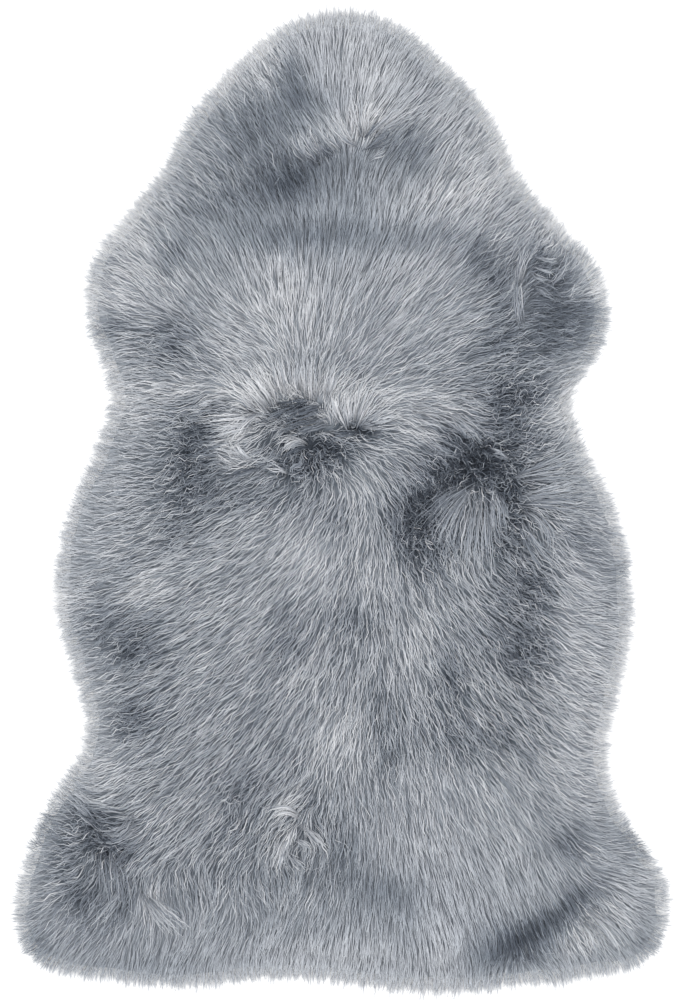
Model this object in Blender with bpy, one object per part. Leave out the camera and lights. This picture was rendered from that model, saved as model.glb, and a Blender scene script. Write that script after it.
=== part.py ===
"""Sheepskin rug: one long-wool pelt lying flat on the floor, hide down and wool up.

Lengths are in millimetres and turn to metres when a solid is made. X runs across the pelt,
Y runs along it towards the neck, Z is up, and the underside of the hide is z = 0.
"""

import math
from collections import namedtuple

import bpy
import numpy as np
from mathutils import Vector
from mathutils.geometry import delaunay_2d_cdt

# ---- driving sizes, in millimetres ----
METRES = 0.001
SEED = 71

HIDE_THICK = 2.5
HIDE_INSET = 7.0  # the trimmed skin ends inside the roots of the outermost locks
HIDE_STATIONS = 180
SPAN_STEPS = 20  # steps of the outline's curve from one named point to the next
SEAT_GAP = 0.3  # clear air between the skin and the wool's flat underside

PILE_HEIGHT = 44.5  # top of the wool over the middle of the pelt
RIM_HEIGHT = 27.0  # top of the wool where the rim locks leave it
SHOULDER_RUN = 58.0  # distance over which the wool rounds down to its rim
LEAST_PILE = 19.0

TOP_PITCH = 13.6  # spacing of the points that carry the wool's upper surface
TOP_MARGIN = 8.0  # how far those points stay from the rim
JOIN_WITHIN = 1e-6

LOCK_COUNT = 236
LOCK_LENGTH = 28.0
LOCK_LENGTH_SPREAD = 4.5
LOCK_LEAN = 4.5  # how far a tip strays sideways
LOCK_LEAN_WAVES = (9, 23, 41)  # leans change slowly round the rim, so no lock crosses the next
CROWN_SPREAD = 0.12  # share by which a lock is fuller or flatter than its neighbours

LUMP_PITCH = 29.0
LUMP_LENGTH = 24.0
LUMP_WIDTH = 8.5
LUMP_RISE = 5.8
LUMP_SINK = 4.6
RIM_RELIEF = 0.35  # share of the hollows, crests and lumps that is left at the rim

SUEDE_COLOUR = (0.55, 0.47, 0.37)
SUEDE_ROUGHNESS = 0.92
WOOL_COLOUR = (0.33, 0.35, 0.375)
WOOL_ROUGHNESS = 0.88
SHARP_ANGLE = math.radians(48)

# One row across the pelt: how far its wool reaches left and right of the middle line.
Station = namedtuple("Station", "name along left right")
STATIONS = (
    Station("nape", 497, 40, 44),
    Station("poll", 462, 94, 94),
    Station("neck", 398, 154, 153),
    Station("throat", 337, 186, 181),
    Station("shoulder", 275, 237, 234),
    Station("foreleg_top", 240, 257, 265),
    Station("foreleg", 193, 262, 275),
    Station("foreleg_foot", 152, 249, 263),
    Station("armpit", 108, 236, 236),
    Station("rib", 50, 253, 254),
    Station("belly_front", -12, 280, 284),
    Station("belly", -94, 294, 298),
    Station("belly_back", -155, 279, 293),
    Station("flank", -217, 262, 278),
    Station("stifle", -258, 268, 272),
    Station("thigh", -310, 302, 285),
    Station("hindleg_top", -375, 328, 328),
    Station("hindleg", -412, 334, 336),
    Station("hindleg_foot", -452, 328, 326),
)

# The tail end, from left to right.
Corner = namedtuple("Corner", "name across along")
TAIL_END = (
    Corner("left_foot", -292, -480),
    Corner("left_rump", -164, -494),
    Corner("tail_notch", -50, -485),
    Corner("right_rump", 102, -499),
    Corner("right_foot", 285, -480),
)

# Hollows (negative rise) and crests of the lying wool. Turn is the long axis from +X, in degrees.
Form = namedtuple("Form", "name x y length width turn rise")
FORMS = (
    Form("whorl", -40, 72, 34, 22, 110, -15),
    Form("back_parting", 108, 16, 44, 15, 38, -14),
    Form("back_parting_end", 79, -38, 32, 14, 95, -11),
    Form("left_flank_hollow", -150, 28, 50, 32, 100, -12),
    Form("neck_band_left", -92, 332, 52, 17, 20, -12),
    Form("neck_band", 9, 347, 34, 13, 0, -10),
    Form("neck_fold_right", 62, 361, 24, 12, 60, -8),
    Form("right_foreleg_hollow", 223, 192, 34, 19, 70, -11),
    Form("right_shoulder_fold", 158, 240, 32, 12, 85, -8),
    Form("right_rib_parting", 186, -80, 88, 16, 91, -10),
    Form("loin_hollow", 112, -183, 28, 18, 20, -7),
    Form("left_belly_fold", -221, -141, 28, 18, 60, -6),
    Form("right_loin_fold", 152, -238, 28, 15, 60, -8),
    Form("left_thigh_whorl", -246, -342, 32, 17, 60, -13),
    Form("left_hind_fold", -250, -396, 32, 14, 5, -9),
    Form("rump_fold", -10, -372, 38, 15, 115, -8),
    Form("right_thigh_fold", 225, -340, 28, 15, 45, -9),
    Form("right_hind_valley", 190, -436, 60, 14, 35, -13),
    Form("head_crest", 22, 410, 42, 30, 60, 8),
    Form("right_neck_crest", 143, 320, 34, 20, 30, 6),
    Form("left_foreleg_crest", -222, 228, 30, 22, 20, 6),
    Form("left_back_crest", -75, 165, 52, 28, 120, 7),
    Form("right_back_crest", 96, 212, 46, 22, 80, 7),
    Form("middle_crest", -42, -50, 60, 34, 90, 7),
    Form("right_belly_crest", 250, -99, 38, 22, 90, 6),
    Form("rump_crest", -8, -240, 60, 34, 90, 6),
    Form("right_rump_crest", 102, -296, 44, 24, 110, 6),
    Form("right_hind_crest", 256, -420, 34, 24, 30, 6),
)

# Sections of a rim lock: share of its length, of the room it has there, and of its root height.
Section = namedtuple("Section", "reach width height")
LOCK_SECTIONS = (
    Section(0.30, 0.86, 0.82),
    Section(0.66, 0.66, 0.47),
    Section(1.00, 0.24, 0.10),
)


def outline_knots():
    """The rim's named points in order: down the left side, along the tail end, up the right side."""
    left = [(-row.left, row.along) for row in STATIONS]
    tail = [(row.across, row.along) for row in TAIL_END]
    right = [(row.right, row.along) for row in reversed(STATIONS)]
    return np.array(left + tail + right, float)


def smooth_loop(knots):
    """A closed Catmull-Rom curve: each span is the cubic through its two knots, with slopes that
    join the knots on either side."""
    before = np.roll(knots, 1, axis=0)
    after = np.roll(knots, -1, axis=0)
    beyond = np.roll(knots, -2, axis=0)
    t = (np.arange(SPAN_STEPS) / SPAN_STEPS)[None, :, None]
    a, b, c, d = (rows[:, None, :] for rows in (before, knots, after, beyond))
    curve = b + 0.5 * t * (c - a + t * (2 * a - 5 * b + 4 * c - d + t * (3 * (b - c) + d - a)))
    return curve.reshape(-1, 2)


def even_loop(loop, count):
    """The same closed loop as `count` points at equal steps of its length."""
    closed = np.vstack([loop, loop[:1]])
    length = np.concatenate([[0], np.cumsum(np.linalg.norm(np.diff(closed, axis=0), axis=1))])
    at = np.linspace(0, length[-1], count, endpoint=False)
    return np.column_stack([np.interp(at, length, closed[:, axis]) for axis in (0, 1)])


def outward(loop):
    """Unit normals of a loop that runs anticlockwise: its tangent turned a quarter turn clockwise."""
    tangent = np.roll(loop, -1, axis=0) - np.roll(loop, 1, axis=0)
    tangent /= np.linalg.norm(tangent, axis=1, keepdims=True)
    return np.column_stack([tangent[:, 1], -tangent[:, 0]])


def inset_loop(loop, depth, count):
    """The loop moved inwards by `depth` along its normals, spaced evenly again."""
    return even_loop(loop - depth * outward(loop), count)


def lock_loops(reach):
    """The loops that the rim locks' roots and tips lie on. Both are half a lock's length from a
    loop of even steps midway between them, so locks fan out round a corner without thinning out."""
    half = LOCK_LENGTH / 2
    middle = inset_loop(reach, half, LOCK_COUNT)
    normal = outward(middle)
    return middle - half * normal, middle + half * normal


def rim_distance(points, loop):
    """Shortest distance from each point to the loop, and the outward normal where it is met."""
    start = loop
    along = np.roll(loop, -1, axis=0) - loop
    offset = points[:, None, :] - start[None]
    share = (offset * along).sum(2) / (along * along).sum(1)
    nearest = offset - np.clip(share, 0, 1)[..., None] * along
    squared = (nearest * nearest).sum(2)
    which = squared.argmin(1)
    distance = np.sqrt(squared[np.arange(len(points)), which])
    return distance, outward(loop)[which]


def inside(points, loop):
    """True where a line from the point towards +X meets the loop an odd number of times."""
    start = loop[None]
    end = np.roll(loop, -1, axis=0)[None]
    x = points[:, None, 0]
    y = points[:, None, 1]
    spans = (start[..., 1] > y) != (end[..., 1] > y)
    rise = np.where(spans, end[..., 1] - start[..., 1], 1.0)
    meets = start[..., 0] + (y - start[..., 1]) / rise * (end[..., 0] - start[..., 0])
    return (spans & (x < meets)).sum(1) % 2 == 1


def lie_of_wool(points, loop):
    """Unit direction in which the locks lie: away from the whorl in the middle, turning to point
    straight out over the shoulder at the rim."""
    whorl = FORMS[0]
    distance, normal = rim_distance(points, loop)
    radial = points - (whorl.x, whorl.y)
    radial /= np.linalg.norm(radial, axis=1, keepdims=True) + 1e-9
    rim_share = np.exp(-distance / SHOULDER_RUN)[:, None]
    lie = (1 - rim_share) * radial + rim_share * normal
    return lie / (np.linalg.norm(lie, axis=1, keepdims=True) + 1e-9)


def bell(points, x, y, length, width, direction):
    """A bell curve over an ellipse: 1 at its middle, falling as exp of minus half the squared
    distance, with distance counted in `length` along the direction and in `width` across it."""
    offset = points[:, None, :] - np.column_stack([x, y])[None]
    along = (offset * direction[None]).sum(2)
    across = offset[..., 0] * direction[None, :, 1] - offset[..., 1] * direction[None, :, 0]
    return np.exp(-0.5 * ((along / length) ** 2 + (across / width) ** 2))


def wool_height(points, loop, rng):
    """Top of the wool above the floor: a rounded shoulder from the rim, plus the named hollows and
    crests, plus seeded lumps that lie along the wool."""
    distance, _ = rim_distance(points, loop)
    run = np.clip(distance / SHOULDER_RUN, 0, 1)
    shoulder = np.sqrt(1 - (1 - run) ** 2)
    height = RIM_HEIGHT + (PILE_HEIGHT - RIM_HEIGHT) * shoulder

    forms = np.array([row[1:] for row in FORMS], float)
    turn = np.radians(forms[:, 4])
    axis = np.column_stack([np.cos(turn), np.sin(turn)])
    relief = bell(points, forms[:, 0], forms[:, 1], forms[:, 2], forms[:, 3], axis) @ forms[:, 5]

    low = loop.min(0)
    high = loop.max(0)
    grid = np.stack(np.meshgrid(*(np.arange(a, b, LUMP_PITCH) for a, b in zip(low, high))), -1)
    centres = grid.reshape(-1, 2) + rng.uniform(-0.5, 0.5, (grid.size // 2, 2)) * LUMP_PITCH
    rise = rng.uniform(-LUMP_SINK, LUMP_RISE, len(centres))
    lie = lie_of_wool(centres, loop)
    lumps = bell(points, centres[:, 0], centres[:, 1], LUMP_LENGTH, LUMP_WIDTH, lie) @ rise
    share = RIM_RELIEF + (1 - RIM_RELIEF) * run
    return np.maximum(height + share * (relief + lumps), LEAST_PILE)


def upper_points(loop):
    """Points in rows staggered like bricks, all inside the rim and clear of it."""
    low = loop.min(0)
    high = loop.max(0)
    rows = np.arange(low[1], high[1], TOP_PITCH * math.sqrt(3) / 2)
    columns = np.arange(low[0], high[0], TOP_PITCH)
    x, y = np.meshgrid(columns, rows)
    x = x + (np.arange(len(rows)) % 2)[:, None] * TOP_PITCH / 2
    points = np.column_stack([x.ravel(), y.ravel()])
    points = points[inside(points, loop)]
    distance, _ = rim_distance(points, loop)
    return points[distance > TOP_MARGIN]


def triangulated(points, rim_count):
    """Triangles over the points, inside the closed loop that the first `rim_count` of them make."""
    rim = [(i, (i + 1) % rim_count) for i in range(rim_count)]
    flat = [Vector((x, y)) for x, y in points]
    inside_rim = 1
    _, _, faces, origin, _, _ = delaunay_2d_cdt(flat, rim, [], inside_rim, JOIN_WITHIN)
    return [[origin[i][0] for i in face] for face in faces]


def slow_waves(count, waves, rng):
    """A closed run of values between -1 and 1: sine waves with whole numbers of turns."""
    angle = np.linspace(0, 2 * math.pi, count, endpoint=False)
    total = sum(np.sin(turns * angle + rng.uniform(0, 2 * math.pi)) for turns in waves)
    return total / len(waves)


def rim_locks(roots, tips, tops, rng):
    """Corner rings of every rim lock, as an array (section, lock, corner, xyz).

    A lock's root is the wall between two neighbouring root points. Each further section lies
    between the lines from those points to their tips, pushed sideways by the lock's lean. It is
    narrower and lower than the one before, and its underside lies level on the floor.
    """
    span = tips - roots
    lean = slow_waves(len(roots), LOCK_LEAN_WAVES, rng) * LOCK_LEAN
    stretch = 1 + rng.uniform(-1, 1, len(roots)) * LOCK_LENGTH_SPREAD / LOCK_LENGTH
    crown = (tops + np.roll(tops, -1, axis=0)) / 2
    crown = crown * (1 + CROWN_SPREAD * rng.uniform(-1, 1, len(roots)))
    rings = []
    for section in LOCK_SECTIONS:
        reach = (section.reach * stretch)[:, None]
        near = roots + span * reach
        far = np.roll(roots, -1, axis=0) + np.roll(span, -1, axis=0) * reach
        room = far - near
        aside = room / np.linalg.norm(room, axis=1, keepdims=True) * lean[:, None] * reach
        middle = (near + far) / 2 + aside
        near = middle - room * section.width / 2
        far = middle + room * section.width / 2
        high = crown * section.height
        low = np.zeros(len(roots))
        ring = ((near, high), (far, high), (far, low), (near, low))
        rings.append(np.stack([np.column_stack([flat, z]) for flat, z in ring], axis=1))
    return np.array(rings)


def fleece_mesh(roots, tips, rng):
    """The wool: upper surface, flat underside, and a wall that is drawn out into the rim locks."""
    count = len(roots)
    flat = np.vstack([roots, upper_points(roots)])
    height = wool_height(flat, roots, rng)
    upper = np.column_stack([flat, height])
    under = np.column_stack([roots, np.full(count, HIDE_THICK + SEAT_GAP)])
    rings = rim_locks(roots, tips, height[:count], rng)

    under_start = len(upper)
    rings_start = under_start + count
    faces = triangulated(flat, count)
    faces.append([under_start + i for i in reversed(range(count))])
    for i in range(count):
        j = (i + 1) % count
        inner = [i, j, under_start + j, under_start + i]
        for section in range(len(LOCK_SECTIONS)):
            first = rings_start + (section * count + i) * len(inner)
            outer = [first + corner for corner in range(len(inner))]
            for a, b in ((0, 1), (1, 2), (2, 3), (3, 0)):
                faces.append([inner[b], inner[a], outer[a], outer[b]])
            inner = outer
        faces.append(inner[::-1])
    return np.vstack([upper, under, rings.reshape(-1, 3)]), faces


def hide_mesh(roots):
    """The skin: a flat sheet of even thickness, its edge cut square."""
    count = HIDE_STATIONS
    edge = inset_loop(roots, HIDE_INSET, count)
    low = np.column_stack([edge, np.zeros(count)])
    high = np.column_stack([edge, np.full(count, HIDE_THICK)])
    faces = [list(range(count))[::-1], list(range(count, 2 * count))]
    for i in range(count):
        j = (i + 1) % count
        faces.append([i, j, count + j, count + i])
    return np.vstack([low, high]), faces


def material(name, colour, roughness):
    """A plain non-metal Principled surface."""
    made = bpy.data.materials.new(name)
    made.use_nodes = True
    made.diffuse_color = (*colour, 1.0)
    shader = made.node_tree.nodes["Principled BSDF"]
    shader.inputs["Base Color"].default_value = (*colour, 1.0)
    shader.inputs["Roughness"].default_value = roughness
    shader.inputs["Metallic"].default_value = 0.0
    return made


def add_solid(name, points, faces, surface):
    """One named object, its mesh in metres, smooth but for edges sharper than SHARP_ANGLE."""
    mesh = bpy.data.meshes.new(name)
    mesh.from_pydata((points * METRES).tolist(), [], faces)
    mesh.validate()
    mesh.shade_smooth()
    mesh.set_sharp_from_angle(angle=SHARP_ANGLE)
    mesh.materials.append(surface)
    solid = bpy.data.objects.new(name, mesh)
    bpy.context.scene.collection.objects.link(solid)


def build():
    for old in list(bpy.data.objects):
        bpy.data.objects.remove(old)
    rng = np.random.default_rng(SEED)
    roots, tips = lock_loops(smooth_loop(outline_knots()))
    wool, wool_faces = fleece_mesh(roots, tips, rng)
    skin, skin_faces = hide_mesh(roots)
    centre = (wool.min(0) + wool.max(0)) / 2 * (1, 1, 0)  # the origin is under the wool's middle
    suede = material("suede", SUEDE_COLOUR, SUEDE_ROUGHNESS)
    grey_wool = material("grey_wool", WOOL_COLOUR, WOOL_ROUGHNESS)
    add_solid("hide", skin - centre, skin_faces, suede)
    add_solid("fleece", wool - centre, wool_faces, grey_wool)


build()
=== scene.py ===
"""Sheepskin rug: the wool, underwool and skin of one long-wool pelt, dyed blue grey and laid flat.

Tables and sizes are in millimetres, as in the part's own source, and turn to metres when a mesh is
made. X runs across the pelt, Y along it towards the neck, Z up, and the hide's underside is z = 0.
"""

import math
from collections import namedtuple

import bpy
import numpy as np
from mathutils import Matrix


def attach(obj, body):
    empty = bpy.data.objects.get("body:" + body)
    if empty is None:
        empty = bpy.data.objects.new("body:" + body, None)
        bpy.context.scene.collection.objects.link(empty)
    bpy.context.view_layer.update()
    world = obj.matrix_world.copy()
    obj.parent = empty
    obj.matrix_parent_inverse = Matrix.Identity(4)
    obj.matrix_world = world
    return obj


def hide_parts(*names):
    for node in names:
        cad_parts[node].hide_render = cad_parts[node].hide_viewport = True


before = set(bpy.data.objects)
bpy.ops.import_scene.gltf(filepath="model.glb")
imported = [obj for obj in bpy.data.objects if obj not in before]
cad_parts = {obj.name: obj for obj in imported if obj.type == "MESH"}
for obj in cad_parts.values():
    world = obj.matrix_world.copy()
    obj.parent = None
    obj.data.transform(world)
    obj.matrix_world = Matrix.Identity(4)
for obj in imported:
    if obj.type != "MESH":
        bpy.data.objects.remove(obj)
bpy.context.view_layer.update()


def table(text):
    """The rows of a text table as named tuples: its first line names the columns, and each row
    starts with its own name."""
    columns, *lines = text.strip().splitlines()
    row = namedtuple("row", columns)
    return [row(name, *map(float, numbers)) for name, *numbers in map(str.split, lines)]


# ---- sizes in millimetres ----
METRES = 0.001
SEED = 19
CENTRE = np.array([1.5, -0.1])  # where the middle of the wool lies on the tables' own axes

HIDE_THICK = 2.5
HIDE_INSET = 35.0  # the trimmed skin ends this far inside the tips of the rim's wool
HIDE_BEVEL = 0.8
SEAT_GAP = 0.4  # between the hide and the underwool
SPAN_STEPS = 20  # points from one station of the outline to the next

PILE_HEIGHT = 44.5
RIM_HEIGHT = 27.0  # top of the wool where it starts to fall to the floor
RIM_FALL = 28.0  # width of the band in which it falls
SHOULDER_RUN = 58.0  # width of the next band, in which it rises to PILE_HEIGHT
FALL = ((-0.3, 0.0, 0.34, 0.70, 1.0), (0.05, 0.12, 0.5, 0.84, 1.0))  # height left across RIM_FALL
LEAST_PILE = 19.0  # no hollow goes lower
RIM_RELIEF = 0.35  # share of the lumps that is left at the rim
LUMPS = ((2.6, 26), (1.6, 13))  # rise and spacing of the loose lumps between the named forms

# One row across the pelt: how far its wool reaches left and right of the middle line.
STATIONS = table("""
name along left right
nape 497 40 44
poll 462 94 94
neck 398 154 153
throat 337 186 181
shoulder 275 237 234
foreleg_top 240 257 265
foreleg 193 262 275
foreleg_foot 152 249 263
armpit 108 236 236
rib 50 253 254
belly_front -12 280 284
belly -94 294 298
belly_back -155 279 293
flank -217 262 278
stifle -258 268 272
thigh -310 302 285
hindleg_top -375 328 328
hindleg -412 334 336
hindleg_foot -452 328 326
""")

# The tail end, from left to right.
TAIL_END = table("""
name across along
left_foot -292 -480
left_rump -164 -494
tail_notch -50 -485
right_rump 102 -499
right_foot 285 -480
""")

# Hollows (negative rise) and crests of the lying wool. Turn is the long axis from +X, in degrees.
FORMS = table("""
name x y length width turn rise
whorl -40 72 34 22 110 -15
back_parting 108 16 44 15 38 -14
back_parting_end 79 -38 32 14 95 -11
left_flank_hollow -150 28 50 32 100 -12
neck_band_left -92 332 52 17 20 -12
neck_band 9 347 34 13 0 -10
neck_fold_right 62 361 24 12 60 -8
right_foreleg_hollow 223 192 34 19 70 -11
right_shoulder_fold 158 240 32 12 85 -8
right_rib_parting 186 -80 88 16 91 -10
loin_hollow 112 -183 28 18 20 -7
left_belly_fold -221 -141 28 18 60 -6
right_loin_fold 152 -238 28 15 60 -8
left_thigh_whorl -246 -342 32 17 60 -13
left_hind_fold -250 -396 32 14 5 -9
rump_fold -10 -372 38 15 115 -8
right_thigh_fold 225 -340 28 15 45 -9
right_hind_valley 190 -436 60 14 35 -13
head_crest 22 410 42 30 60 8
right_neck_crest 143 320 34 20 30 6
left_foreleg_crest -222 228 30 22 20 6
left_back_crest -75 165 52 28 120 7
right_back_crest 96 212 46 22 80 7
middle_crest -42 -50 60 34 90 7
right_belly_crest 250 -99 38 22 90 6
rump_crest -8 -240 60 34 90 6
right_rump_crest 102 -296 44 24 110 6
right_hind_crest 256 -420 34 24 30 6
""")

# Painted shade and painted light: places where the wool is darker or paler, in steps of 255. Darker rows
# paint the shade in folds, hollows and partings, partly the wool's own darker roots showing where it parts;
# paler rows paint light on crests and ridges.
PAINTED_SHADES_AND_LIGHT = table("""
name x y length width turn tone
poll_streak -52 436 15 8 95 -34
throat_dark -52 328 23 15 20 -58
collar_left -119 301 39 16 10 -26
head_fold_right 61 365 16 11 20 -46
head_fold_end 76 345 18 10 45 -30
collar 1 344 27 11 0 -28
crown 26 422 29 31 80 24
neck_right 143 347 51 27 120 18
collar_under 9 285 21 12 0 -18
collar_under_left -52 278 31 14 0 -16
left_lobe -225 229 23 31 90 32
left_lobe_end -237 178 14 8 10 -32
left_armpit -171 163 12 16 160 -36
left_shoulder_fold -167 252 16 8 50 -36
left_back -52 190 49 25 90 26
left_back_side -114 183 31 25 60 18
left_back_foot -83 122 27 10 30 30
left_rib -159 118 35 9 0 26
right_back_line 61 112 64 10 0 26
right_back_foot 85 75 23 10 150 28
right_lobe 228 194 27 21 130 -60
right_armpit 184 159 31 23 90 -18
whorl_low -30 45 31 14 0 -42
parting_corner 11 75 16 6 10 -30
left_tongue -110 69 21 9 70 44
right_parting 136 43 31 17 135 -68
right_parting_low 79 -9 31 15 80 -66
spine_light -6 -37 41 14 10 16
tongue 134 -27 27 11 90 26
right_flank_strip 171 -12 45 11 95 -34
right_flank_bar 177 -87 27 11 0 -28
right_loin 186 -145 27 14 85 -44
right_loin_in 153 -130 16 14 60 -26
loin_spot 112 -177 14 10 60 -40
loin_light 77 -145 14 27 170 16
middle -30 -64 27 12 100 18
middle_fold_left -52 -134 13 21 0 -24
middle_fold_right 9 -117 18 11 0 -26
rump_crest -3 -237 18 21 0 20
rump_fold 44 -241 31 12 95 -22
right_rump_line 137 -232 41 12 0 -24
right_flank_light 245 -253 23 41 170 18
left_rib_streak -203 -87 23 9 25 28
left_belly_low -206 -148 21 14 160 -42
left_loin -206 -217 16 14 90 -40
left_flank_light -237 -271 16 10 60 30
left_rump -95 -286 25 12 70 -24
tuft -51 -300 8 7 60 36
tuft_tail -59 -341 16 6 68 24
tail_fold 50 -396 21 10 165 -32
right_rump 112 -355 41 62 90 14
right_thigh 231 -343 16 11 0 -40
tail_edge 4 -456 72 14 0 20
tail_edge_right 102 -443 16 31 0 22
whorl_slit 16 78 13 5 0 -64
whorl_crease -15 58 12 6 150 -34
whorl_shadow -50 37 14 6 150 -24
valley_bank 240 -443 21 9 35 50
flank_dark 141 -37 10 16 90 -56
whorl_rim -56 115 43 8 0 90
point_pale 11 90 18 8 0 48
right_back_lock 117 92 16 8 150 34
right_lobe_rim 253 219 9 27 100 36
right_shoulder_seam 163 190 21 9 95 -22
right_armpit_in 136 123 27 12 0 -16
middle_pale 44 -74 25 12 0 16
left_rim -278 -99 14 62 90 24
left_lobe_top -206 285 16 27 140 28
crown_left_top -75 457 14 16 60 26
crown_left -77 383 31 23 70 -20
brow 22 383 30 10 0 44
valley 179 -443 29 12 26 -82
tail_shade 4 -378 92 10 0 -14
left_rump_shade -129 -248 72 41 110 -7
right_belly 249 -140 31 62 0 13
crown_shade -42 406 12 10 60 -30
collar_bar -42 267 51 10 0 -42
right_back 86 219 45 31 0 13
crown_top -11 475 45 12 0 14
neck_low_right 107 309 35 10 8 20
right_shoulder_edge 134 248 23 10 70 -36
right_lobe_top 199 252 18 14 100 -38
right_waist 223 98 14 35 100 40
right_parting_join 114 34 12 12 60 -30
parting_knee 120 65 12 8 0 -34
flank_side 209 -78 12 21 90 -20
left_belly_top -239 -105 21 14 60 -56
left_hollow -145 50 37 21 80 -50
left_thigh -235 -341 18 12 130 -70
left_hind_spot -259 -398 12 10 0 -28
left_hind_in -218 -398 11 12 0 -30
left_lobe_rim -251 239 10 21 100 -28
left_shoulder_low -139 188 14 35 0 -14
hind_shade -1 -396 338 64 0 -9
right_thigh_edge 307 -343 16 10 130 -58
right_shoulder_in 155 229 14 14 10 -40
under_whorl -88 6 47 8 0 -26
left_hollow_foot -165 -27 12 14 0 -22
right_belly_light 237 -76 16 12 0 26
right_rib_top 168 106 35 14 0 -36
right_lobe_shoulder 212 276 14 10 40 30
throat_under -16 311 35 8 0 -26
head_middle -26 391 23 25 90 -18
crown_left_rim -116 429 16 21 50 22
whorl_lobe -16 82 10 8 0 42
whorl_mid -45 86 12 6 0 -24
parting_middle 95 26 12 10 0 -30
parting_in 110 -7 12 21 90 -24
right_edge 296 -68 10 51 90 -26
left_hind_corner -313 -452 14 14 0 -34
valley_low 219 -458 31 10 10 -20
right_lobe_foot 212 159 14 10 0 -24
right_rib 170 86 21 13 60 -46
left_belly_bar -201 -113 21 8 0 -22
tuft_shade 4 -343 16 18 0 -26
left_thigh_edge -305 -333 25 10 60 -30
left_hind_low -242 -417 21 16 0 -18
tail_left_edge -216 -470 82 10 0 -12
right_hind_side 286 -374 21 21 90 14
right_hind_corner 322 -456 14 14 0 -30
crown_left_side -81 428 12 14 0 20
valley_rise 238 -403 29 8 40 -58
hind_pale 266 -417 21 14 30 30
head_front -6 404 62 14 0 -10
whorl_pit -43 102 12 6 170 -44
whorl_top -44 94 10 10 20 -50
middle_shade -6 -22 18 12 0 -26
tail_shade_right 91 -437 41 21 0 -12
shoulder_line 86 266 45 10 0 -32
shoulder_light 147 278 18 12 0 20
right_belly_spot 245 -39 14 10 150 -26
whorl_right 26 26 18 18 60 22
parting_edge 50 -9 10 31 10 -20
left_waist -218 101 16 27 60 14
fan_foot -44 137 18 9 0 -22
right_armpit_mouth 153 159 14 10 0 -24
right_lobe_in 223 226 16 10 0 -26
head_left -95 367 31 27 90 -20
left_thigh_side -273 -362 12 29 0 -18
right_back_spot 91 205 12 9 0 -24
right_lobe_side 200 201 8 16 0 -18
right_flank_top 184 55 10 14 0 -22
right_rib_side 204 106 10 14 90 -22
right_rib_low 198 65 12 12 0 -20
right_parting_spur 108 -44 12 9 60 -24
right_parting_end 83 -64 16 10 75 -20
thigh_top -255 -316 12 8 140 -28
left_hind_light -194 -399 14 12 0 20
crown_lobe -79 106 9 8 0 28
tongue_foot -104 49 12 10 0 24
""")

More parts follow.
